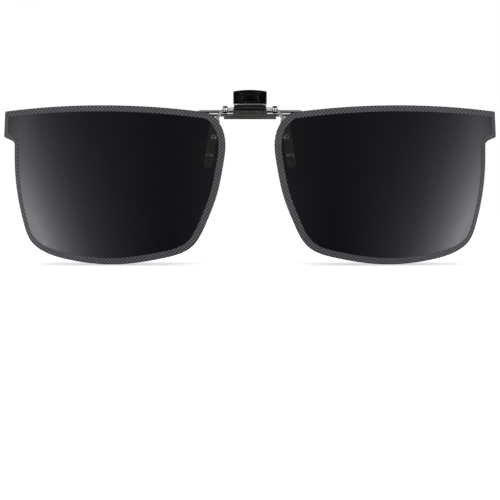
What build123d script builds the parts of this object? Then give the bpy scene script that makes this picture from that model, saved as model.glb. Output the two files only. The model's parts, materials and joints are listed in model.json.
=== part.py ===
from build123d import *
from math import atan2, degrees, hypot, sqrt
import os

# Flip-up clip-on sunglasses: two tinted lenses on a hinged shaft, and a sprung clip with four claws.
# Drawn in millimetres about the centre of the flip shaft and exported about the centre of the grip.
# +X is the wearer's left, -Y the front and +Z up. Pairs are drawn on the +X side and mirrored.

# Lens: the outline of the +X lens, seen from the front as (x, z)
LENS_CURVE_R = 160.0  # front surface of the moulded lens
LENS_THICK = 1.1
LENS_APEX = (27.0, -4.4, -22.0)  # frontmost point of that surface
LENS_EDGE = 0.15
TOP_ARC = ((72.4, -0.45), (43.2, 1.25), (13.0, -0.8))
NOSE_TO_TEMPLE = (
    (13.0, -0.8),
    (10.3, -2.35),
    (8.2, -5.4),
    (7.2, -9.9),
    (7.8, -16.0),
    (9.5, -24.4),
    (12.8, -33.3),
    (17.2, -40.4),
    (25.5, -43.6),
    (40.0, -45.45),
    (53.2, -44.15),
    (60.4, -41.95),
    (64.5, -38.9),
    (66.9, -33.0),
    (68.9, -22.5),
    (69.45, -13.0),
)
WING_NOTCH = (69.45, -9.4)
WING_LOW = (72.65, -8.0)
WING_NOTCH_R = 1.5
WING_CORNER_R = 0.5

# Border: a printed film on the lens's front, wider at the nose than at the temple
BORDER_WIDE = 1.58
BORDER_SHIFT = (0.43, -0.2)
BORDER_SQUASH = 0.989  # the window's height against the lens's, so that the border is wider above and below
BORDER_THICK = 0.12

# Lens fixings: a round screw above and a flat-sided key below, through the lens and its tab
SCREW_AT = (10.7, -8.1)
SCREW_SHANK_R = 0.5
SCREW_HEAD_R = 0.75
SCREW_HEAD_H = 0.45
SCREW_SLOT = (0.22, 0.15)  # width, depth
WASHER_R = 0.85
WASHER_H = 0.12
NUT_R = 0.9
NUT_H = 0.6
KEY_AT = (11.8, -13.4)
KEY_SHANK = (1.7, 0.8)
KEY_HEAD = (2.3, 1.2)
KEY_HEAD_H = 0.4
KEY_TAIL = (2.0, 1.1)
KEY_TAIL_H = 0.3
FIXING_GAP = 0.05

# Tab behind the lens, and the wire arm that carries it
TAB_ENDS = ((10.2, -3.5), (12.2, -15.7))
TAB_WIDE = 2.6
TAB_THICK = 0.7
ARM_WIRE_R = 0.48
ARM_NECK = (0.5, 1.2)
ARM_BACK = 0.25  # wire's start behind the eye's centre, so that it runs level with the tab's back
ARM_BOW = ((0.95, -0.1), (1.55, -0.78), (2.17, -2.1))  # from the eye's centre, in the arm's own plane
ARM_LEG = 3.1
ARM_SINK = 0.08  # depth of the flat where the wire is welded on the tab's back
EYE_R = 0.85
EYE_THICK = 0.6
EYE_BEVEL = 0.08  # on the rims of the eyes and of the pads they sit under

# Flip shaft, its forged end pads and the screws that clamp the arms on them
SHAFT_R = 0.72
SHAFT_HALF = 6.2
SHAFT_BEVEL = 0.15
PAD_X = 7.28
PAD_R = 0.85
PAD_THICK = 0.5
CLAMP_SHANK_R = 0.36
CLAMP_HOLE_R = 0.38
CLAMP_HEAD_R = 0.7
CLAMP_HEAD_H = 0.55
CLAMP_NUT_R = 0.62
CLAMP_NUT_H = 0.5
CLAMP_SLOT = (0.22, 0.2)
DETENT_HALF = 1.6  # half length of the shaft's squared part
DETENT_FLAT = 0.6  # centre to flat

# Hinge block
BLOCK_HALF = 4.7
BLOCK_FRONT = -1.3
BLOCK_SHOULDER = 1.4  # behind this the block is narrower, clear of the jaw's ears
BLOCK_BOTTOM = -2.05
CHEEK_HALF = 4.1
CHEEK_BACK = 4.3
FRONT_BOSS_R = 1.3
REAR_BOSS_R = 1.1
RUNNING = 0.02  # radial clearance of both pins
SPRING_SLOT_HALF = 1.5
SPRING_SLOT_FRONT = 1.7
SPRING_SLOT_FLOOR = -1.27
LEAF = (2.6, 1.8, 0.15)
LEAF_RELIEF = (1.4, 0.27)

# Saddle: front plate, lower rail and floor, pressed from one sheet and riveted to the block
PLATE_THICK = 0.65
PLATE_HALF = 5.0
PLATE_TOP = -0.35
PLATE_CORNER_R = 0.2
RAIL_HALF = 7.66
RAIL_TOP = -1.5
FLOOR_THICK = 0.55
LIP = 0.24  # how far the plate and rail hang below the floor
FLOOR_BACK = 4.73
BEAD_R = 0.18
BEAD_Z = -1.95
RIVETS = {"front": (3.3, -0.2), "back": (3.3, 2.8)}
RIVET_R = 0.4
RIVET_HEAD_R = 0.8
RIVET_HEAD_H = 0.12
RIVET_TOP = -1.0

# Rear jaw: pivot pin, pressed plate, thumb lever cap
PIN_Y, PIN_Z = 3.4, 0.1
PIN_R = 0.6
PIN_HEAD_R = 0.85
PIN_HEAD = (4.68, 4.92)
EAR = (4.15, 4.65)
EAR_R = 1.0
JAW_Y = (4.75, 5.25)
JAW_BOTTOM = -2.5
LEDGE_Z = (1.45, 1.75)
LEDGE_FRONT = 1.9
LEDGE_HALF = 4.9
TONGUE_HALF = 3.6
TONGUE_Y = (2.9, 3.3)
TONGUE_TOP = 5.0
CAP_HALF = 4.95
CAP_Y = (1.9, 4.3)
CAP_SHOULDER_Z = 5.45
CAP_CROWN_Z = 5.9
CAP_ROUND = 0.3
CAP_RECESS = (2.5, 2.3, 4.1, 0.5)  # half width, low, high, depth
CAP_GROOVE = (2.5, 4.6, 5.1, 0.2)
CAP_RIB_HALF = 4.0
CAP_RIBS = 4
CAP_RIB_Z, CAP_RIB_STEP = 2.5, 0.75
CAP_RIB_CUT = (0.35, 0.18)  # height, depth
POCKET_GAP = 0.03

# Claws: four bent wires with flat-faced silicone sleeves
CLAW_WIRE_R = 0.45
CLAW_X = 16.0
FRONT_CLAW_Z, REAR_CLAW_Z = -1.55, -0.4
CLAW_TIP_Z = -8.6
CLAW_BEND_R = 1.6
FRONT_CLAW_Y, FRONT_CLAW_ROOT = 1.7, 2.9
REAR_CLAW_Y, REAR_CLAW_ROOT = JAW_Y[1] + CLAW_WIRE_R, 0.6
SLEEVE_R = 0.95
SLEEVE_FLAT = 0.8  # wire centre to the gripping face
SLEEVE_LONG = 5.6
SLEEVE_END = 0.5  # silicone below the wire's end
SLEEVE_ROUND = 0.3

# Torsion spring round the pivot pin
SPRING_WIRE_R = 0.17
SPRING_COIL_R = 1.15
SPRING_PITCH = 0.43
SPRING_TURNS = 5.5
SPRING_LEG = 1.3

# Centre of the grip, which is the origin of the exported parts
SLEEVE_LOW = CLAW_TIP_Z - SLEEVE_END
SLEEVE_MIDDLE = SLEEVE_LOW + SLEEVE_LONG / 2
GRIP = (0, (FRONT_CLAW_Y + REAR_CLAW_Y) / 2, SLEEVE_MIDDLE)

FAR = 40  # reaches right through any piece


def block_of(x, y, z):
    """A block given by its limits on each axis."""
    size = [high - low for low, high in (x, y, z)]
    middle = [(high + low) / 2 for low, high in (x, y, z)]
    return Pos(*middle) * Box(*size)


def rod(x, y, z, radius):
    """A round bar along X between two limits."""
    return Pos((x[0] + x[1]) / 2, y, z) * Rot(0, 90, 0) * Cylinder(radius, x[1] - x[0])


def post(x, y, z, radius):
    """A round bar along Z between two limits."""
    return Pos(x, y, (z[0] + z[1]) / 2) * Cylinder(radius, z[1] - z[0])


def mirrored(shape):
    return mirror(shape, about=Plane.YZ)


# ---- lenses and what is fixed to them ----


def shell(front, back):
    """The space between two depths behind the lens's front surface."""
    centre = Pos(LENS_APEX[0], LENS_APEX[1] + LENS_CURVE_R, LENS_APEX[2])
    return centre * Sphere(LENS_CURVE_R - front) - centre * Sphere(LENS_CURVE_R - back)


def prism(sketch):
    """A sketch drawn as (x, z), carried from front to back."""
    return extrude(Plane.XZ * sketch, amount=FAR, both=True)


def lens_normal_plane(at, depth):
    """A plane square to the lens at (x, z), this deep behind its front, facing the front."""
    across = hypot(at[0] - LENS_APEX[0], at[1] - LENS_APEX[2])
    centre = Vector(LENS_APEX[0], LENS_APEX[1] + LENS_CURVE_R, LENS_APEX[2])
    point = Vector(at[0], centre.Y - sqrt(LENS_CURVE_R**2 - across**2), at[1])
    return Plane(point, x_dir=(1, 0, 0), z_dir=(point - centre).normalized()).offset(-depth)


def through_lens(at, sketch, start, end):
    """A sketch carried square to the lens from one depth behind its front to another."""
    return extrude(lens_normal_plane(at, end) * sketch, amount=end - start)


def lens_outline():
    """The +X lens as a flat shape: crowned top, round nose side, wing at the temple."""
    top = ThreePointArc(*TOP_ARC)
    side = Spline(*NOSE_TO_TEMPLE, tangents=(top % 1, (0, 1)), tangent_scalars=(1, 1))
    wing = Polyline(NOSE_TO_TEMPLE[-1], WING_NOTCH, WING_LOW, TOP_ARC[0])
    face = make_face([top, side, *wing.edges()])

    def corner(shape, point):
        return shape.vertices().sort_by_distance(Vertex(*point, 0))[0]

    face = fillet(corner(face, WING_NOTCH), WING_NOTCH_R)
    return fillet([corner(face, WING_LOW), corner(face, TOP_ARC[0])], WING_CORNER_R)


def fixing_holes(gap):
    beyond = LENS_THICK + TAB_THICK + 1
    slot = SlotOverall(KEY_SHANK[0] + 2 * gap, KEY_SHANK[1] + 2 * gap)
    round_hole = through_lens(SCREW_AT, Circle(SCREW_SHANK_R + gap), -1, beyond)
    return round_hole + through_lens(KEY_AT, slot, -1, beyond)


def lens(outline):
    blank = prism(outline) & shell(0, LENS_THICK)
    front = blank.faces().filter_by(GeomType.SPHERE).sort_by(Axis.Y)[0]
    return chamfer(front.edges(), LENS_EDGE) - fixing_holes(FIXING_GAP)


def inset(outline, distance):
    """The outline moved inwards, with its curves redrawn as splines."""
    return offset(outline, -distance).face().to_splines()


def lens_border(outline):
    window = Pos(*BORDER_SHIFT) * scale(inset(outline, BORDER_WIDE), by=(1, BORDER_SQUASH, 1))
    return (prism(inset(outline, LENS_EDGE)) & shell(-BORDER_THICK, 0)) - prism(window)


def lens_tab():
    (x0, z0), (x1, z1) = TAB_ENDS
    strip = SlotCenterToCenter(hypot(x1 - x0, z1 - z0), TAB_WIDE)
    strip = Pos((x0 + x1) / 2, (z0 + z1) / 2) * Rot(0, 0, degrees(atan2(z1 - z0, x1 - x0))) * strip
    return (prism(strip) & shell(LENS_THICK, LENS_THICK + TAB_THICK)) - fixing_holes(0)


def lens_screw():
    head = through_lens(SCREW_AT, Circle(SCREW_HEAD_R), -WASHER_H - SCREW_HEAD_H, -WASHER_H)
    rim = head.edges().filter_by(GeomType.CIRCLE).sort_by(Axis.Y)[0]
    width, depth = SCREW_SLOT
    top = -WASHER_H - SCREW_HEAD_H
    slot = through_lens(SCREW_AT, Rectangle(3, width), top - 1, top + depth)
    shank = through_lens(SCREW_AT, Circle(SCREW_SHANK_R), -WASHER_H, LENS_THICK + TAB_THICK + NUT_H)
    return fillet(rim, SCREW_HEAD_H * 0.8) - slot + shank


def lens_washer():
    return through_lens(SCREW_AT, Circle(WASHER_R) - Circle(SCREW_SHANK_R), -WASHER_H, 0)


def lens_nut():
    hexagon = RegularPolygon(NUT_R, 6) - Circle(SCREW_SHANK_R)
    back = LENS_THICK + TAB_THICK
    return through_lens(SCREW_AT, hexagon, back, back + NUT_H)


def lens_key():
    head = through_lens(KEY_AT, SlotOverall(*KEY_HEAD), -KEY_HEAD_H, 0)
    rim = head.faces().sort_by(Axis.Y)[0].edges()
    back = LENS_THICK + TAB_THICK
    shank = through_lens(KEY_AT, SlotOverall(*KEY_SHANK), 0, back)
    tail = through_lens(KEY_AT, SlotOverall(*KEY_TAIL), back, back + KEY_TAIL_H)
    return chamfer(rim, KEY_HEAD_H * 0.45) + shank + tail


# ---- flip shaft and the arms on its ends ----


def bevelled(disc):
    return chamfer(disc.edges().filter_by(GeomType.CIRCLE), EYE_BEVEL)


def lens_arm(tab):
    """A flat eye on the shaft's end pad, and a wire that bows down to the back of the tab."""
    hole = post(PAD_X, 0, (-FAR, FAR), CLAMP_HOLE_R)
    eye = bevelled(post(PAD_X, 0, (-EYE_THICK, 0), EYE_R))
    neck_x = (PAD_X + ARM_NECK[0], PAD_X + ARM_NECK[1])
    eye += block_of(neck_x, (ARM_BACK - ARM_WIRE_R, ARM_BACK + ARM_WIRE_R), (-EYE_THICK, 0))
    start = Vector(PAD_X, ARM_BACK, -EYE_THICK / 2)
    bow = ThreePointArc(*ARM_BOW)
    leg = Line(bow @ 1, bow @ 1 + (bow % 1) * ARM_LEG)

    # The wire's end rests on the tab's back, sunk by its weld, and the arm's plane leans to meet it there
    end = leg @ 1
    tab_back = lens_normal_plane((PAD_X + end.X, start.Z + end.Y), LENS_THICK + TAB_THICK).origin
    lean = Vector(0, tab_back.Y + ARM_WIRE_R - ARM_SINK - start.Y, end.Y)
    plane = Plane(start, x_dir=(1, 0, 0), z_dir=Vector(1, 0, 0).cross(lean * -1))
    route = plane * Wire([bow, leg])
    wire = sweep(Plane(route @ 0, z_dir=route % 0) * Circle(ARM_WIRE_R), path=route)
    return eye + wire - hole - tab


def flip_shaft():
    """Round bar with a squared middle for the detent and a flat pad with a hole on each end."""
    bar = rod((-SHAFT_HALF, SHAFT_HALF), 0, 0, SHAFT_R)
    bar = chamfer(bar.edges().filter_by(GeomType.CIRCLE), SHAFT_BEVEL)
    around = rod((-DETENT_HALF, DETENT_HALF), 0, 0, 2 * SHAFT_R)
    bar -= around - Box(2 * DETENT_HALF, 2 * DETENT_FLAT, 2 * DETENT_FLAT)
    pad = block_of((SHAFT_HALF - 2 * SHAFT_BEVEL, PAD_X), (-SHAFT_R, SHAFT_R), (0, PAD_THICK))
    pad += bevelled(post(PAD_X, 0, (0, PAD_THICK), PAD_R))
    pad -= post(PAD_X, 0, (-FAR, FAR), CLAMP_HOLE_R)
    return bar + pad + mirrored(pad)


def clamp_screw():
    top = PAD_THICK + CLAMP_HEAD_H
    head = post(PAD_X, 0, (PAD_THICK, top), CLAMP_HEAD_R)
    head = chamfer(head.edges().sort_by(Axis.Z)[-1], CLAMP_HEAD_H / 4)
    width, depth = CLAMP_SLOT
    head -= block_of((PAD_X - FAR, PAD_X + FAR), (-width / 2, width / 2), (top - depth, top + 1))
    return head + post(PAD_X, 0, (-EYE_THICK - CLAMP_NUT_H, PAD_THICK), CLAMP_SHANK_R)


def clamp_nut():
    hexagon = RegularPolygon(CLAMP_NUT_R, 6) - Circle(CLAMP_SHANK_R)
    return extrude(Pos(PAD_X, 0, -EYE_THICK - CLAMP_NUT_H) * hexagon, amount=CLAMP_NUT_H)


# ---- clip: hinge block, saddle and front claws ----


def hinge_block():
    """Moulded block: a boss for each pin, a slot for the torsion spring, a pocket for the leaf."""
    block = rod((-BLOCK_HALF, BLOCK_HALF), 0, 0, FRONT_BOSS_R)
    block += block_of((-BLOCK_HALF, BLOCK_HALF), (BLOCK_FRONT, BLOCK_SHOULDER), (BLOCK_BOTTOM, 0))
    block += block_of((-CHEEK_HALF, CHEEK_HALF), (0, CHEEK_BACK), (BLOCK_BOTTOM, PIN_Z))
    block += rod((-CHEEK_HALF, CHEEK_HALF), PIN_Y, PIN_Z, REAR_BOSS_R)
    slot_x = (-SPRING_SLOT_HALF, SPRING_SLOT_HALF)
    block -= block_of(slot_x, (SPRING_SLOT_FRONT, FAR), (SPRING_SLOT_FLOOR, FAR))
    block -= rod((-FAR, FAR), 0, 0, SHAFT_R + RUNNING)
    block -= rod((-FAR, FAR), PIN_Y, PIN_Z, PIN_R)
    wide, deep, thick = LEAF
    relief_deep, relief_high = LEAF_RELIEF
    leaf_low = -DETENT_FLAT - thick
    block -= block_of((-wide / 2, wide / 2), (-deep / 2, deep / 2), (leaf_low, -DETENT_FLAT))
    relief_y = (-relief_deep / 2, relief_deep / 2)
    block -= block_of((-wide / 2, wide / 2), relief_y, (leaf_low - relief_high, leaf_low))
    for x in ((-FAR, -FRONT_CLAW_ROOT), (FRONT_CLAW_ROOT, FAR)):
        block -= rod(x, FRONT_CLAW_Y, FRONT_CLAW_Z, CLAW_WIRE_R)
    return block - rivet_holes()


def rivet_holes():
    holes = [post(side * x, y, (-FAR, RIVET_TOP), RIVET_R) for x, y in RIVETS.values() for side in (-1, 1)]
    return Compound(children=holes)


def detent_spring():
    wide, deep, thick = LEAF
    return block_of((-wide / 2, wide / 2), (-deep / 2, deep / 2), (-DETENT_FLAT - thick, -DETENT_FLAT))


def saddle():
    """Front plate with a wide lower rail, and the floor under the block."""
    front, low = BLOCK_FRONT - PLATE_THICK, BLOCK_BOTTOM - FLOOR_THICK
    plate = block_of((-PLATE_HALF, PLATE_HALF), (front, BLOCK_FRONT), (low - LIP, PLATE_TOP))
    plate += block_of((-RAIL_HALF, RAIL_HALF), (front, BLOCK_FRONT), (low - LIP, RAIL_TOP))
    plate = fillet(plate.edges().filter_by(Axis.Y), PLATE_CORNER_R)
    hem = plate.edges().filter_by(Axis.X).group_by(Axis.Z)[0].sort_by(Axis.Y)[0]
    plate = chamfer(hem, PLATE_CORNER_R)
    plate += rod((PLATE_CORNER_R - RAIL_HALF, RAIL_HALF - PLATE_CORNER_R), front, BEAD_Z, BEAD_R)
    plate += block_of((-BLOCK_HALF, BLOCK_HALF), (BLOCK_FRONT, FLOOR_BACK), (low, BLOCK_BOTTOM))
    return plate - rivet_holes()


def saddle_rivet(x, y):
    low = BLOCK_BOTTOM - FLOOR_THICK
    head = post(x, y, (low - RIVET_HEAD_H, low), RIVET_HEAD_R)
    head = chamfer(head.edges().sort_by(Axis.Z)[0], RIVET_HEAD_H * 0.6)
    return head + post(x, y, (low, RIVET_TOP), RIVET_R)


def claw(root, y, z):
    """A wire that runs out along X, turns down and ends inside its sleeve."""
    bent = FilletPolyline((root, z), (CLAW_X, z), (CLAW_X, CLAW_TIP_Z), radius=CLAW_BEND_R)
    route = Pos(0, y, 0) * (Plane.XZ * bent)
    return sweep(Plane(route @ 0, z_dir=route % 0) * Circle(CLAW_WIRE_R), path=route)


def claw_sleeve(y, facing):
    """A silicone tip, flat towards +Y when facing is 1 and towards -Y when it is -1."""
    tip = post(CLAW_X, y, (SLEEVE_LOW, SLEEVE_LOW + SLEEVE_LONG), SLEEVE_R)
    tip = fillet(tip.edges().filter_by(GeomType.CIRCLE), SLEEVE_ROUND)
    waste = sorted((y + facing * SLEEVE_FLAT, y + facing * FAR))
    tip -= block_of((CLAW_X - FAR, CLAW_X + FAR), waste, (-FAR, FAR))
    return tip - post(CLAW_X, y, (CLAW_TIP_Z, FAR), CLAW_WIRE_R)


# ---- rear jaw ----


def jaw_pin():
    pin = rod((-PIN_HEAD[1], PIN_HEAD[1]), PIN_Y, PIN_Z, PIN_R)
    head = rod(PIN_HEAD, PIN_Y, PIN_Z, PIN_HEAD_R)
    head = chamfer(head.edges().sort_by(Axis.X)[-1], (PIN_HEAD[1] - PIN_HEAD[0]) / 2)
    return pin + head + mirrored(head)


def jaw_plate():
    """Pressed plate that turns on the pin: two ears, a back, and a ledge and tongue for the cap."""
    low, high = LEDGE_Z
    plate = block_of((-EAR[1], EAR[1]), JAW_Y, (JAW_BOTTOM, high))
    plate += block_of((-LEDGE_HALF, LEDGE_HALF), (LEDGE_FRONT, JAW_Y[1]), LEDGE_Z)
    plate += block_of((-TONGUE_HALF, TONGUE_HALF), TONGUE_Y, (high, TONGUE_TOP))
    ear = rod(EAR, PIN_Y, PIN_Z, EAR_R)
    ear += block_of(EAR, (PIN_Y - EAR_R, JAW_Y[1]), (PIN_Z, low))
    ear += block_of(EAR, (PIN_Y, JAW_Y[1]), (PIN_Z - EAR_R, PIN_Z))
    return plate + ear + mirrored(ear) - rod((-FAR, FAR), PIN_Y, PIN_Z, PIN_R + RUNNING)


def lever_cap():
    """Moulded finger pad: crowned top, recessed front and ribbed back."""
    foot = LEDGE_Z[1]
    front, back = CAP_Y
    right, left = (CAP_HALF, CAP_SHOULDER_Z), (-CAP_HALF, CAP_SHOULDER_Z)
    crown = ThreePointArc(left, (0, CAP_CROWN_Z), right)
    sides = Polyline(right, (CAP_HALF, foot), (-CAP_HALF, foot), left)
    cap = Pos(0, back, 0) * extrude(Plane.XZ * make_face([crown, *sides.edges()]), amount=back - front)
    cap = fillet(cap.edges().filter_by(Axis.Z), CAP_ROUND)
    for half, low, high, depth in (CAP_RECESS, CAP_GROOVE):
        cap -= block_of((-half, half), (front - 1, front + depth), (low, high))
    height, depth = CAP_RIB_CUT
    for number in range(CAP_RIBS):
        low = CAP_RIB_Z + number * CAP_RIB_STEP
        cap -= block_of((-CAP_RIB_HALF, CAP_RIB_HALF), (back - depth, back + 1), (low, low + height))
    pocket_half = TONGUE_HALF + POCKET_GAP
    pocket_y = (TONGUE_Y[0] - POCKET_GAP, TONGUE_Y[1] + POCKET_GAP)
    return cap - block_of((-pocket_half, pocket_half), pocket_y, (foot - 1, TONGUE_TOP + POCKET_GAP))


def torsion_spring():
    """Coil round the pin, with one leg along the slot's floor and one under the jaw's ledge."""
    height = SPRING_PITCH * SPRING_TURNS
    turn = Helix(SPRING_PITCH, height, SPRING_COIL_R)
    coil = Pos(-height / 2, PIN_Y, PIN_Z) * Rot(0, 90, 0) * turn
    low_leg = Line(coil @ 0 - (coil % 0) * SPRING_LEG, coil @ 0)
    high_leg = Line(coil @ 1, coil @ 1 + (coil % 1) * SPRING_LEG)
    route = Wire([low_leg, coil, high_leg])
    return sweep(Plane(route @ 0, z_dir=route % 0) * Circle(SPRING_WIRE_R), path=route, is_frenet=True)


def all_parts():
    """Every piece by name. A pair's piece is drawn once, on the wearer's left."""
    outline = lens_outline()
    tab = lens_tab()
    pairs = {
        "lens": lens(outline),
        "lens_border": lens_border(outline),
        "lens_tab": tab,
        "lens_arm": lens_arm(tab),
        "lens_screw": lens_screw(),
        "lens_washer": lens_washer(),
        "lens_nut": lens_nut(),
        "lens_key": lens_key(),
        "arm_screw": clamp_screw(),
        "arm_nut": clamp_nut(),
        "front_claw": claw(FRONT_CLAW_ROOT, FRONT_CLAW_Y, FRONT_CLAW_Z),
        "front_sleeve": claw_sleeve(FRONT_CLAW_Y, 1),
        "rear_claw": claw(REAR_CLAW_ROOT, REAR_CLAW_Y, REAR_CLAW_Z),
        "rear_sleeve": claw_sleeve(REAR_CLAW_Y, -1),
    }
    for place, at in RIVETS.items():
        pairs[f"{place}_rivet"] = saddle_rivet(*at)
    parts = {
        "flip_shaft": flip_shaft(),
        "hinge_block": hinge_block(),
        "detent_spring": detent_spring(),
        "saddle": saddle(),
        "jaw_pin": jaw_pin(),
        "jaw_plate": jaw_plate(),
        "lever_cap": lever_cap(),
        "torsion_spring": torsion_spring(),
    }
    for name, piece in pairs.items():
        parts[f"left_{name}"] = piece
        parts[f"right_{name}"] = mirrored(piece)
    return parts


os.makedirs("parts", exist_ok=True)
to_grip = Pos(*(-Vector(*GRIP)))
for name, piece in all_parts().items():
    export_step(to_grip * piece, f"parts/{name}.step")
print("origin, from the flip shaft's centre:", GRIP)
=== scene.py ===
import json
from math import cos, pi, radians, sin

import bpy
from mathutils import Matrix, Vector

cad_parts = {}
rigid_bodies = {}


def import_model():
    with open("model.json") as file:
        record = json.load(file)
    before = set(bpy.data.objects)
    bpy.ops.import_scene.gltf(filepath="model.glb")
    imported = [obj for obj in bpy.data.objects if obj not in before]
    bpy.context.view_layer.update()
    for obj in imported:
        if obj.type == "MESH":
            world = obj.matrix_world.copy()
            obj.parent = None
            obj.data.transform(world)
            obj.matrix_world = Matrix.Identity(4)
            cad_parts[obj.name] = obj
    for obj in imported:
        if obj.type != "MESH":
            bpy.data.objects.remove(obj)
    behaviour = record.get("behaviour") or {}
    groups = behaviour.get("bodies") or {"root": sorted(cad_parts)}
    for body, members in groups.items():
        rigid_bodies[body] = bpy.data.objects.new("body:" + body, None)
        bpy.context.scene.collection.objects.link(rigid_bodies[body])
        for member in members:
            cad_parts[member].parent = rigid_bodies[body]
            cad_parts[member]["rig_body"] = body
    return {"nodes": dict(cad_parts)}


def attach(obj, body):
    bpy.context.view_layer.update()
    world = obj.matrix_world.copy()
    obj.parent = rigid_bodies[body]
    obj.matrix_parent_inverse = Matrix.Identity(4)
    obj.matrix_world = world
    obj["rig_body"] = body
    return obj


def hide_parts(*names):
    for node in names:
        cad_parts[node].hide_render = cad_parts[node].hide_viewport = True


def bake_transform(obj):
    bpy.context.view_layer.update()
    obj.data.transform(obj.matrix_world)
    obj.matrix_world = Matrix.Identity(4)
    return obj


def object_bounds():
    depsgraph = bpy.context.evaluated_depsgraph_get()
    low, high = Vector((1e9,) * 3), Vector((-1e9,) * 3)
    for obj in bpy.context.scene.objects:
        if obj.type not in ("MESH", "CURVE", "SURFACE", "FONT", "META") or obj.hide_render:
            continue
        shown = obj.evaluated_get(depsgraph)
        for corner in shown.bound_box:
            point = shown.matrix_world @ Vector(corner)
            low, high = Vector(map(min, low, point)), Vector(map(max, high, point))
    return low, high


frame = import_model()
parts = frame["nodes"]
cadBox = [list(corner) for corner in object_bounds()]
mm = 0.001
sides = ("left", "right")
print("frame loaded with", len(parts), "parts")


# ways of adding shader nodes

noiseReach = (0.3, 0.7)      # nearly all of one noise lies between these
mixedReach = (0.35, 0.65)    # and nearly all of two noises mixed


def startMaterial(name):
    material = bpy.data.materials.new(name)
    material.use_nodes = True
    return material, material.node_tree, material.node_tree.nodes["Principled BSDF"]


def addNode(tree, kind, inputs=None, **settings):
    made = tree.nodes.new("ShaderNode" + kind)
    for setting, value in settings.items():
        setattr(made, setting, value)
    for name, value in (inputs or {}).items():
        plug(tree, made.inputs[name], value)
    return made


def plug(tree, socket, value):
    if isinstance(value, bpy.types.NodeSocket):
        tree.links.new(value, socket)
    else:
        socket.default_value = value


def calc(tree, operation, *values):
    return addNode(tree, "Math", dict(enumerate(values)), operation=operation).outputs[0]


def place(tree, stretch=(1, 1, 1)):
    here = addNode(tree, "TexCoord").outputs["Object"]
    return addNode(tree, "Mapping", {"Vector": here, "Scale": stretch}).outputs[0]


def noise(tree, where, patch, detail=3.0, rough=0.5):
    inputs = {"Vector": where, "Scale": 1 / patch, "Detail": detail, "Roughness": rough}
    return addNode(tree, "TexNoise", inputs).outputs[0]


def remap(tree, value, low, high, start, end, soft=False):
    inputs = {"Value": value, "From Min": low, "From Max": high, "To Min": start, "To Max": end}
    kind = "SMOOTHSTEP" if soft else "LINEAR"
    return addNode(tree, "MapRange", inputs, interpolation_type=kind).outputs[0]


def blendColours(tree, amount, first, second):
    ends = [value if isinstance(value, bpy.types.NodeSocket) else (*value, 1) for value in (first, second)]
    return addNode(tree, "Mix", {0: amount, 6: ends[0], 7: ends[1]}, data_type="RGBA").outputs[2]


def mixParts(tree, first, second, firstShare):
    weighed = [calc(tree, "MULTIPLY", first, firstShare), calc(tree, "MULTIPLY", second, 1 - firstShare)]
    return calc(tree, "ADD", *weighed)


def bumpFrom(tree, height, strength, distance):
    return addNode(tree, "Bump", {"Height": height, "Strength": strength, "Distance": distance}).outputs[0]


def rimWear(tree, start, end):
    sharp = addNode(tree, "NewGeometry").outputs["Pointiness"]
    return remap(tree, sharp, start, end, 0, 1, soft=True)


# metals: the colour stains in patches and wears bare on the rims, over a drawn or brushed grain

metalSkin = {
    "stained": (0.35, 0.7), "spot": 0.17, "spotted": (0.3, 0.6), "spotWear": (0.35, 1), "grainShare": 0.6,
    "relief": 0.02 * mm,
}


def makeMetal(name, look, skin=metalSkin):
    material, tree, shader = startMaterial(name)
    grain = noise(tree, place(tree, look["grainShape"]), look["grain"], detail=4)
    patches = noise(tree, place(tree), look["patch"], detail=4, rough=0.6)
    stain = remap(tree, patches, *skin["stained"], 0, 1, soft=True)
    colour = blendColours(tree, stain, look["colour"], look["stain"])
    if look["wear"]:
        spots = noise(tree, place(tree), look["patch"] * skin["spot"], detail=2)
        broken = remap(tree, spots, *skin["spotted"], *skin["spotWear"])
        worn = calc(tree, "MULTIPLY", rimWear(tree, *look["wearFrom"]), broken)
        colour = blendColours(tree, calc(tree, "MULTIPLY", worn, look["wear"]), colour, look["bare"])
    mixed = mixParts(tree, grain, patches, skin["grainShare"])
    plug(tree, shader.inputs["Base Color"], colour)
    plug(tree, shader.inputs["Roughness"], remap(tree, mixed, *noiseReach, *look["rough"]))
    plug(tree, shader.inputs["Normal"], bumpFrom(tree, grain, look["bump"], skin["relief"]))
    shader.inputs["Metallic"].default_value = 1
    return material


chromeLook = {
    "colour": (0.80, 0.78, 0.75), "stain": (0.66, 0.64, 0.61), "patch": 1.6 * mm,
    "grain": 0.12 * mm, "grainShape": (0.25, 1, 1), "rough": (0.26, 0.38), "bump": 0.12, "wear": 0,
}
armLook = {
    "colour": (0.34, 0.34, 0.325), "stain": (0.25, 0.25, 0.235), "patch": 1.6 * mm,
    "grain": 0.10 * mm, "grainShape": (1, 1, 0.25), "rough": (0.14, 0.26), "bump": 0.12, "wear": 0,
}
wireLook = {
    "colour": (0.34, 0.34, 0.33), "stain": (0.24, 0.24, 0.23), "patch": 2.4 * mm,
    "grain": 0.10 * mm, "grainShape": (0.12, 1, 1), "rough": (0.16, 0.34), "bump": 0.25, "wear": 0,
}
greySteelLook = {
    "colour": (0.30, 0.30, 0.28), "stain": (0.23, 0.23, 0.21), "patch": 1.8 * mm,
    "grain": 0.08 * mm, "grainShape": (1, 1, 0.16), "rough": (0.28, 0.46), "bump": 0.35,
    "wear": 0.7, "wearFrom": (0.53, 0.6), "bare": (0.62, 0.61, 0.58),
}
blackOxideLook = {
    "colour": (0.014, 0.0135, 0.013), "stain": (0.008, 0.0075, 0.007), "patch": 0.7 * mm,
    "grain": 0.06 * mm, "grainShape": (1, 1, 1), "rough": (0.24, 0.42), "bump": 0.25,
    "wear": 0.2, "wearFrom": (0.54, 0.66), "bare": (0.16, 0.15, 0.14),
}
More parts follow.
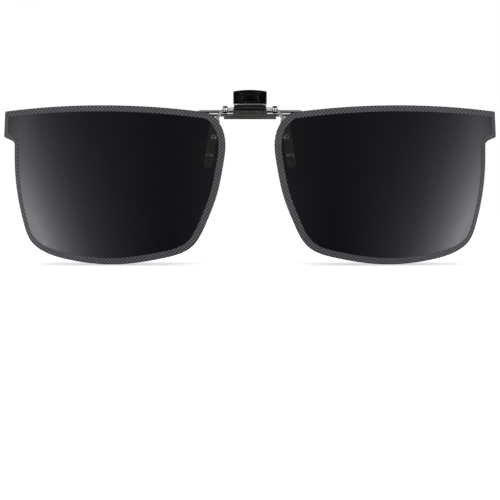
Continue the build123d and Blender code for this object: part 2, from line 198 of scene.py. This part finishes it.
bluedSteelLook = {
    "colour": (0.105, 0.104, 0.100), "stain": (0.060, 0.059, 0.057), "patch": 0.7 * mm,
    "grain": 0.06 * mm, "grainShape": (1, 1, 1), "rough": (0.20, 0.34), "bump": 0.2,
    "wear": 0.3, "wearFrom": (0.54, 0.66), "bare": (0.30, 0.29, 0.27),
}
gunmetalLook = {
    "colour": (0.105, 0.104, 0.093), "stain": (0.075, 0.074, 0.065), "patch": 2.0 * mm,
    "grain": 0.07 * mm, "grainShape": (0.10, 1, 1), "rough": (0.30, 0.46), "bump": 0.4,
    "wear": 0.4, "wearFrom": (0.54, 0.66), "bare": (0.30, 0.29, 0.27),
}
jawSteelLook = {
    "colour": (0.46, 0.45, 0.42), "stain": (0.36, 0.35, 0.32), "patch": 1.9 * mm,
    "grain": 0.08 * mm, "grainShape": (0.12, 1, 1), "rough": (0.38, 0.52), "bump": 0.35,
    "wear": 0.6, "wearFrom": (0.53, 0.61), "bare": (0.72, 0.70, 0.67),
}
springSteelLook = {
    "colour": (0.34, 0.31, 0.27), "stain": (0.22, 0.17, 0.13), "patch": 0.5 * mm,
    "grain": 0.05 * mm, "grainShape": (0.4, 1, 1), "rough": (0.20, 0.36), "bump": 0.2, "wear": 0,
}
solderLook = {
    "colour": (0.52, 0.51, 0.48), "stain": (0.24, 0.21, 0.17), "patch": 0.6 * mm,
    "grain": 0.16 * mm, "grainShape": (1, 1, 1), "rough": (0.24, 0.52), "bump": 0.5, "wear": 0,
}
chrome = makeMetal("polishedChrome", chromeLook)
smokedChrome = makeMetal("smokedChrome", armLook)
drawnWire = makeMetal("drawnWire", wireLook)
greySteel = makeMetal("satinSteel", greySteelLook)
blackOxide = makeMetal("blackOxideSteel", blackOxideLook)
bluedSteel = makeMetal("bluedSteel", bluedSteelLook)
gunmetal = makeMetal("brushedGunmetal", gunmetalLook)
jawSteel = makeMetal("nickelPlate", jawSteelLook)
springSteel = makeMetal("temperedSpring", springSteelLook)
solder = makeMetal("silverSolder", solderLook)
print("metals made")


# lens tint: glossy and all but black, with a painted lighter patch near the nose standing in for the tab
# behind it seen through the lens

# the lighter colour over the tab near the nose is a painted see-through, standing in for the tab behind
# the lens showing through it
lensLook = {
    "tint": (0.0030, 0.0032, 0.0040), "clouded": (0.0040, 0.0042, 0.0050),
    "paintedTabColour": (0.0135, 0.0135, 0.0115), "paintedTabHalf": 1.3 * mm, "paintedTabEdge": 0.22 * mm,
    "tabEnds": ((10.2 * mm, 0, 2.8 * mm), (12.2 * mm, 0, -9.4 * mm)),
    "paintedTabPatch": 1.1 * mm, "paintedTabFade": (0.55, 1), "rough": (0.02, 0.055), "smudge": 9 * mm,
    "smudgeShare": 0.8, "dust": 0.35 * mm, "bump": 0.02, "relief": 0.004 * mm, "ior": 1.5,
}


def vectorMath(tree, operation, *values):
    return addNode(tree, "VectorMath", dict(enumerate(values)), operation=operation)


def distanceToTab(tree, ends):
    # how far a point is from the tab's centre line, seen from the front
    start, end = (Vector(point) for point in ends)
    along = end - start
    axes = addNode(tree, "SeparateXYZ", {0: place(tree)}).outputs
    here = addNode(tree, "CombineXYZ", {0: calc(tree, "ABSOLUTE", axes[0]), 2: axes[2]}).outputs[0]
    fromStart = vectorMath(tree, "SUBTRACT", here, tuple(start)).outputs[0]
    reach = vectorMath(tree, "DOT_PRODUCT", fromStart, tuple(along / along.length_squared)).outputs[1]
    reach = remap(tree, reach, 0, 1, 0, 1)  # stays within the tab's length
    foot = addNode(tree, "VectorMath", {0: tuple(along), 3: reach}, operation="SCALE").outputs[0]
    return vectorMath(tree, "LENGTH", vectorMath(tree, "SUBTRACT", fromStart, foot).outputs[0]).outputs[1]


def makeLensTint(look):
    material, tree, shader = startMaterial("smokedLens")
    smudges = noise(tree, place(tree), look["smudge"], detail=5, rough=0.6)
    dust = noise(tree, place(tree), look["dust"], detail=2)
    tint = blendColours(tree, smudges, look["tint"], look["clouded"])
    # painted see-through: a lighter base colour over the tab's outline, patchy at random, in place of
    # light from the tab passing through the lens
    away = distanceToTab(tree, look["tabEnds"])
    inner, outer = look["paintedTabHalf"] - look["paintedTabEdge"], look["paintedTabHalf"] + look["paintedTabEdge"]
    seen = remap(tree, away, inner, outer, 1, 0, soft=True)
    cloud = noise(tree, place(tree), look["paintedTabPatch"])
    seen = calc(tree, "MULTIPLY", seen, remap(tree, cloud, *noiseReach, *look["paintedTabFade"]))
    plug(tree, shader.inputs["Base Color"], blendColours(tree, seen, tint, look["paintedTabColour"]))
    wiped = mixParts(tree, smudges, dust, look["smudgeShare"])
    plug(tree, shader.inputs["Roughness"], remap(tree, wiped, *mixedReach, *look["rough"]))
    plug(tree, shader.inputs["Normal"], bumpFrom(tree, dust, look["bump"], look["relief"]))
    shader.inputs["IOR"].default_value = look["ior"]
    return material


# border print: a matt film with a fine diagonal mesh in it

borderLook = {
    "thread": (0.080, 0.081, 0.088), "gap": (0.006, 0.0062, 0.0075), "pitch": 1.12 * mm,
    "soften": 0.35, "ink": 2.6 * mm, "inkShade": (0.86, 1.1), "grit": 0.09 * mm, "gritHeight": 0.35,
    "rough": (0.44, 0.62), "bump": 0.35, "relief": 0.02 * mm,
}


def makeBorderPrint(look):
    material, tree, shader = startMaterial("meshPrint")
    axes = addNode(tree, "SeparateXYZ", {0: place(tree)}).outputs
    across, upwards = (calc(tree, "SINE", calc(tree, "MULTIPLY", axis, 2 * pi / look["pitch"]))
                       for axis in (axes[0], axes[2]))
    weave = calc(tree, "MULTIPLY", across, upwards)
    mesh = remap(tree, weave, -look["soften"], look["soften"], 0, 1, soft=True)
    ink = noise(tree, place(tree), look["ink"], detail=4, rough=0.6)
    grit = noise(tree, place(tree), look["grit"], detail=2)
    printed = blendColours(tree, mesh, look["gap"], look["thread"])
    shade = remap(tree, ink, *noiseReach, *look["inkShade"])
    shaded = addNode(tree, "VectorMath", {0: printed, 3: shade}, operation="SCALE").outputs[0]
    plug(tree, shader.inputs["Base Color"], shaded)
    plug(tree, shader.inputs["Roughness"], remap(tree, grit, *noiseReach, *look["rough"]))
    height = calc(tree, "ADD", mesh, calc(tree, "MULTIPLY", grit, look["gritHeight"]))
    plug(tree, shader.inputs["Normal"], bumpFrom(tree, height, look["bump"], look["relief"]))
    return material


# mouldings: glossy black plastic with a faint spark texture and lighter rims (part rubbed wear, part
# painted highlight), and soft grey silicone

mouldingLook = {
    "colour": (0.0008, 0.0007, 0.0007), "scuffed": (0.0024, 0.0021, 0.0020), "scuffFrom": (0.45, 0.75),
    "rimWearAndPaintedHighlight": (0.012, 0.011, 0.010), "wearFrom": (0.52, 0.6), "spotted": (0.35, 0.6),
    "spotWear": (0.2, 0.9), "rough": (0.12, 0.24), "shine": 0.18, "texture": 0.11 * mm,
    "patch": 1.7 * mm, "patchShare": 0.7, "bump": 0.10, "relief": 0.012 * mm,
}
siliconeLook = {
    "colour": (0.44, 0.45, 0.46), "grubby": (0.33, 0.33, 0.32), "grimeFrom": (0.4, 0.75),
    "rough": (0.38, 0.58), "patch": 1.3 * mm, "texture": 0.10 * mm, "bump": 0.22, "relief": 0.02 * mm,
    "milky": 0.35, "milkyDepth": 0.5 * mm,
}


def makeMoulding(look):
    material, tree, shader = startMaterial("blackMoulding")
    patches = noise(tree, place(tree), look["patch"], detail=4, rough=0.6)
    spark = noise(tree, place(tree), look["texture"], detail=3)
    scuffs = remap(tree, patches, *look["scuffFrom"], 0, 1, soft=True)
    colour = blendColours(tree, scuffs, look["colour"], look["scuffed"])
    # painted highlight and wear: the base colour lightens on sharp rims, partly as rubbed plastic and
    # partly as a painted highlight where the edges catch the light
    broken = remap(tree, patches, *look["spotted"], *look["spotWear"])
    worn = calc(tree, "MULTIPLY", rimWear(tree, *look["wearFrom"]), broken)
    plug(tree, shader.inputs["Base Color"], blendColours(tree, worn, colour, look["rimWearAndPaintedHighlight"]))
    handled = mixParts(tree, patches, spark, look["patchShare"])
    plug(tree, shader.inputs["Roughness"], remap(tree, handled, *mixedReach, *look["rough"]))
    plug(tree, shader.inputs["Normal"], bumpFrom(tree, spark, look["bump"], look["relief"]))
    shader.inputs["Specular IOR Level"].default_value = look["shine"]
    return material


def makeSilicone(look):
    material, tree, shader = startMaterial("greySilicone")
    patches = noise(tree, place(tree), look["patch"], detail=4, rough=0.6)
    skin = noise(tree, place(tree), look["texture"], detail=3)
    grime = remap(tree, patches, *look["grimeFrom"], 0, 1, soft=True)
    colour = blendColours(tree, grime, look["colour"], look["grubby"])
    plug(tree, shader.inputs["Base Color"], colour)
    plug(tree, shader.inputs["Roughness"], remap(tree, skin, *noiseReach, *look["rough"]))
    plug(tree, shader.inputs["Normal"], bumpFrom(tree, skin, look["bump"], look["relief"]))
    shader.inputs["Subsurface Weight"].default_value = look["milky"]
    shader.inputs["Subsurface Radius"].default_value = (1, 1, 1)
    shader.inputs["Subsurface Scale"].default_value = look["milkyDepth"]
    return material


lensTint = makeLensTint(lensLook)
meshPrint = makeBorderPrint(borderLook)
blackMoulding = makeMoulding(mouldingLook)
greySilicone = makeSilicone(siliconeLook)
print("lens, print, moulding and silicone made")


# CAD parts whose shape is right take a new finish and stay

def paint(piece, material):
    piece.data.materials.clear()
    piece.data.materials.append(material)


def bothSides(*names):
    return [side + "_" + name for side in sides for name in names]


def paintParts(names, material):
    for name in names:
        paint(parts[name], material)


paintParts(bothSides("lens"), lensTint)
paintParts(bothSides("lens_border"), meshPrint)
paintParts(bothSides("front_claw", "rear_claw"), drawnWire)
paintParts(["detent_spring"], springSteel)


# pressed, turned and moulded parts get a copy with eased edges

easing = {"weld": 1e-7, "flat": radians(1), "segments": 2, "sharp": radians(40)}


def pickOnly(piece):
    bpy.ops.object.select_all(action="DESELECT")
    piece.select_set(True)
    bpy.context.view_layer.objects.active = piece


def easedCopy(partName, width):
    source = parts[partName]
    piece = bpy.data.objects.new(partName + "_eased", source.data.copy())
    bpy.context.scene.collection.objects.link(piece)
    pickOnly(piece)
    bpy.ops.object.mode_set(mode="EDIT")
    bpy.ops.mesh.select_all(action="SELECT")
    bpy.ops.mesh.customdata_custom_splitnormals_clear()
    bpy.ops.mesh.remove_doubles(threshold=easing["weld"])
    bpy.ops.mesh.dissolve_limited(angle_limit=easing["flat"])
    bpy.ops.object.mode_set(mode="OBJECT")
    edge = piece.modifiers.new("edge", "BEVEL")
    edge.width = width
    edge.segments = easing["segments"]
    edge.limit_method = "ANGLE"
    edge.angle_limit = easing["sharp"]
    bpy.ops.object.modifier_apply(modifier="edge")
    bpy.ops.object.shade_smooth_by_angle(angle=easing["sharp"])
    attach(piece, source["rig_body"])
    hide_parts(partName)
    return piece


rivets = bothSides("front_rivet", "back_rivet")
armFixings = bothSides("arm_screw", "arm_nut")
lensFixings = bothSides("lens_screw", "lens_nut")
sleeves = bothSides("front_sleeve", "rear_sleeve")
easedParts = [
    {"names": ["flip_shaft"], "edge": 0.04 * mm, "material": chrome, "slot": "chrome"},
    {"names": bothSides("lens_arm"), "edge": 0.03 * mm, "material": smokedChrome, "slot": "chrome"},
    {"names": ["hinge_block"], "edge": 0.06 * mm, "material": blackMoulding, "slot": "black_moulding"},
    {"names": ["lever_cap"], "edge": 0.07 * mm, "material": blackMoulding, "slot": "black_moulding"},
    {"names": ["saddle"], "edge": 0.05 * mm, "material": gunmetal, "slot": "gunmetal"},
    {"names": ["jaw_plate"], "edge": 0.05 * mm, "material": jawSteel, "slot": "jaw_steel"},
    {"names": ["jaw_pin"], "edge": 0.03 * mm, "material": greySteel, "slot": "grey_steel"},
    {"names": bothSides("lens_tab"), "edge": 0.06 * mm, "material": greySteel, "slot": "grey_steel"},
    {"names": rivets, "edge": 0.03 * mm, "material": greySteel, "slot": "grey_steel"},
    {"names": armFixings, "edge": 0.03 * mm, "material": blackOxide, "slot": "dark_steel"},
    {"names": lensFixings, "edge": 0.03 * mm, "material": bluedSteel, "slot": "dark_steel"},
    {"names": bothSides("lens_key"), "edge": 0.05 * mm, "material": bluedSteel, "slot": "dark_steel"},
    {"names": bothSides("lens_washer"), "edge": 0.02 * mm, "material": bluedSteel, "slot": "dark_steel"},
    {"names": sleeves, "edge": 0.06 * mm, "material": greySilicone, "slot": "silicone"},
]
for group in easedParts:
    for partName in group["names"]:
        paint(easedCopy(partName, group["edge"]), group["material"])
print("edges eased")


# torsion spring: the coil between the clip and the jaw is copied, welded and smooth-shaded, and the copy
# stands in for the CAD part

springTwist = {"from": (-1.0, -0.3, 6.4), "to": (1.0, -0.3, 6.4), "sharp": radians(50)}
coil = bpy.data.objects.new("torsion_coil", parts["torsion_spring"].data.copy())
bpy.context.scene.collection.objects.link(coil)
pickOnly(coil)
bpy.ops.object.mode_set(mode="EDIT")
bpy.ops.mesh.select_all(action="SELECT")
bpy.ops.mesh.remove_doubles(threshold=easing["weld"])
bpy.ops.object.mode_set(mode="OBJECT")
bpy.ops.object.shade_smooth_by_angle(angle=springTwist["sharp"])
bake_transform(coil)
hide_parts("torsion_spring")
paint(coil, springSteel)
print("spring wound")


# solder: low mounds that run out round the wire where it meets a plate

armSolder = {"at": (10.1, -4.40, 2.0), "half": (0.80, 0.34, 1.15), "lean": (-9, -16)}
clawSolder = {"at": (2.5, 1.60, 5.90), "half": (1.75, 0.30, 0.72), "lean": (0, 0)}
solderSkin = {"segments": 40, "rings": 20, "patch": 0.5 * mm, "ripple": 0.1 * mm}


def addMound(name, look, skin):
    centre = Vector(look["at"]) * mm
    bpy.ops.object.select_all(action="DESELECT")
    bpy.ops.mesh.primitive_uv_sphere_add(
        segments=skin["segments"], ring_count=skin["rings"], radius=mm, location=centre
    )
    piece = bpy.context.object
    piece.name = name
    bpy.ops.object.mode_set(mode="EDIT")
    bpy.ops.transform.resize(value=look["half"], center_override=centre)
    bpy.ops.transform.rotate(value=radians(look["lean"][0]), orient_axis="X", center_override=centre)
    bpy.ops.transform.rotate(value=radians(look["lean"][1]), orient_axis="Y", center_override=centre)
    bpy.ops.object.mode_set(mode="OBJECT")
    bpy.ops.object.transform_apply(location=True, rotation=True, scale=True)
    wave = bpy.data.textures.new(name + "_ripple", "CLOUDS")
    wave.noise_scale = skin["patch"]
    push = piece.modifiers.new("ripple", "DISPLACE")
    push.texture = wave
    push.texture_coords = "LOCAL"
    push.strength = skin["ripple"]
    push.mid_level = 0.5
    bpy.ops.object.modifier_apply(modifier="ripple")
    bpy.ops.object.shade_smooth()
    return piece


def mirrorAcross(piece, name):
    pickOnly(piece)
    bpy.ops.object.duplicate()
    twin = bpy.context.object
    twin.name = name
    bpy.ops.object.mode_set(mode="EDIT")
    bpy.ops.mesh.select_all(action="SELECT")
    bpy.ops.transform.mirror(constraint_axis=(True, False, False), center_override=(0, 0, 0))
    bpy.ops.mesh.normals_make_consistent(inside=False)
    bpy.ops.object.mode_set(mode="OBJECT")
    return twin


for joinName, look, body, slot in (
    ("arm_solder", armSolder, "lens_frame", "grey_steel"),
    ("claw_solder", clawSolder, "rear_jaw", "jaw_steel"),
):
    mound = addMound("left_" + joinName, look, solderSkin)
    for piece in (mound, mirrorAcross(mound, "right_" + joinName)):
        paint(piece, solder)
        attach(piece, body)
print("solder added")


# floor and light

floorLook = {"size": 1.3, "colour": (0.82, 0.82, 0.82), "rough": 0.9, "level": cadBox[0][2]}
bpy.ops.object.select_all(action="DESELECT")
bpy.ops.mesh.primitive_plane_add(size=floorLook["size"], location=(0, 0, floorLook["level"]))
floor = bpy.context.object
floor.name = "floor"
floorPaint, _, floorShader = startMaterial("paleFloor")
floorShader.inputs["Base Color"].default_value = (*floorLook["colour"], 1)
floorShader.inputs["Roughness"].default_value = floorLook["rough"]
floorShader.inputs["Specular IOR Level"].default_value = 0
floor.data.materials.append(floorPaint)
floor.visible_glossy = False

topLight = {"size": (2.2, 2.2), "height": 1.3, "power": 34.0, "back": 0.1}
lamp = bpy.data.lights.new("topSoftbox", "AREA")
lamp.shape = "RECTANGLE"
lamp.size, lamp.size_y = topLight["size"]
lamp.energy = topLight["power"]
lampStand = bpy.data.objects.new("topSoftbox", lamp)
lampStand.location = (0, topLight["back"], topLight["height"])
lampStand.visible_glossy = False
bpy.context.scene.collection.objects.link(lampStand)

# the studio: dim in front and bright beside it, with a band of light over and under the front, so that a
# curved lens shades outwards and a round wire shows a light line; angles are in degrees
studioLook = {
    "front": [
        (0, 0.055), (5, 0.10), (9, 0.15), (14, 0.24), (19, 0.40), (22.4, 0.62), (26, 1.02), (28.4, 1.46),
        (30.8, 2.10), (33.3, 3.05), (36, 4.1), (40, 2.6), (47, 1.4), (60, 1.0), (85, 0.8), (125, 0.45),
        (155, 0.2), (180, 0.3),
    ],
    "lift": 0.0024, "liftMost": 0.075, "liftHeights": (-22.0, 30.8), "most": 5.0,
    "tone": (0.975, 0.985, 1.03), "backdrop": (1, 1, 1),
    "above": {"heights": (17, 30), "sides": (15, 50), "levels": (1.35, 0.60)},
    "below": {"heights": (-21, -30), "sides": (12, 34), "levels": (1.20, 0.02)},
    "zenith": (62, 85, 0.25), "nadir": (-46, -62, 0.02),
}


def makeStudio(look, inDegrees=180 / pi):
    world = bpy.data.worlds.new("studio")
    world.use_nodes = True
    tree = world.node_tree
    tree.nodes.clear()
    axes = addNode(tree, "SeparateXYZ", {0: addNode(tree, "TexCoord").outputs["Generated"]}).outputs
    turn = calc(tree, "ARCTAN2", calc(tree, "ABSOLUTE", axes[0]), calc(tree, "MULTIPLY", axes[1], -1))
    azimuth = calc(tree, "MULTIPLY", turn, inDegrees)
    height = calc(tree, "MULTIPLY", calc(tree, "ARCSINE", axes[2]), inDegrees)
    ramp = addNode(tree, "ValToRGB", {0: calc(tree, "DIVIDE", azimuth, 180)})
    stops = look["front"]
    peak = max(value for angle, value in stops)
    elements = ramp.color_ramp.elements
    while len(elements) < len(stops):
        elements.new(0.5)
    for element, (angle, value) in zip(elements, stops):
        element.position = angle / 180
        element.color = (value / peak, value / peak, value / peak, 1)
    level = calc(tree, "MULTIPLY", ramp.outputs[0], peak)
    slope = calc(tree, "MINIMUM", calc(tree, "MULTIPLY", azimuth, look["lift"]), look["liftMost"])
    lowest, highest = look["liftHeights"]
    near = calc(tree, "MINIMUM", calc(tree, "MAXIMUM", height, lowest), highest)
    fall = calc(tree, "EXPONENT", calc(tree, "MULTIPLY", calc(tree, "MULTIPLY", slope, near), -1))
    level = calc(tree, "MINIMUM", calc(tree, "MULTIPLY", level, fall), look["most"])
    for band in (look["above"], look["below"]):
        share = remap(tree, height, *band["heights"], 0, 1, soft=True)
        end = remap(tree, azimuth, *band["sides"], *band["levels"], soft=True)
        stay = calc(tree, "MULTIPLY", level, calc(tree, "SUBTRACT", 1, share))
        level = calc(tree, "ADD", stay, calc(tree, "MULTIPLY", share, end))
    for start, end, dim in (look["zenith"], look["nadir"]):
        level = calc(tree, "MULTIPLY", level, remap(tree, height, start, end, 1, dim, soft=True))
    lit = addNode(tree, "Background", {"Color": (*look["tone"], 1), "Strength": level}).outputs[0]
    seen = addNode(tree, "Background", {"Color": (*look["backdrop"], 1), "Strength": 1.0}).outputs[0]
    camera = addNode(tree, "LightPath").outputs["Is Camera Ray"]
    both = addNode(tree, "MixShader", {0: camera, 1: lit, 2: seen}).outputs[0]
    addNode(tree, "OutputWorld", {"Surface": both})
    return world


bpy.context.scene.world = makeStudio(studioLook)
bpy.context.scene.view_settings.view_transform = "Standard"
print("studio lit")


# camera: straight in front, a little above

cameraLook = {
    "aim": (0, -0.006, -0.0349), "away": 0.65, "rise": 2.0, "across": 0.1468,
    "sensor": 36, "clip": (0.01, 20),
}
aim = Vector(cameraLook["aim"])
rise = radians(cameraLook["rise"])
lensData = bpy.data.cameras.new("camera")
lensData.sensor_width = cameraLook["sensor"]
lensData.lens = cameraLook["sensor"] * cameraLook["away"] / cameraLook["across"]
lensData.clip_start, lensData.clip_end = cameraLook["clip"]
camera = bpy.data.objects.new("camera", lensData)
camera.location = aim + cameraLook["away"] * Vector((0, -cos(rise), sin(rise)))
camera.rotation_euler = (pi / 2 - rise, 0, 0)
bpy.context.scene.collection.objects.link(camera)
bpy.context.scene.camera = camera
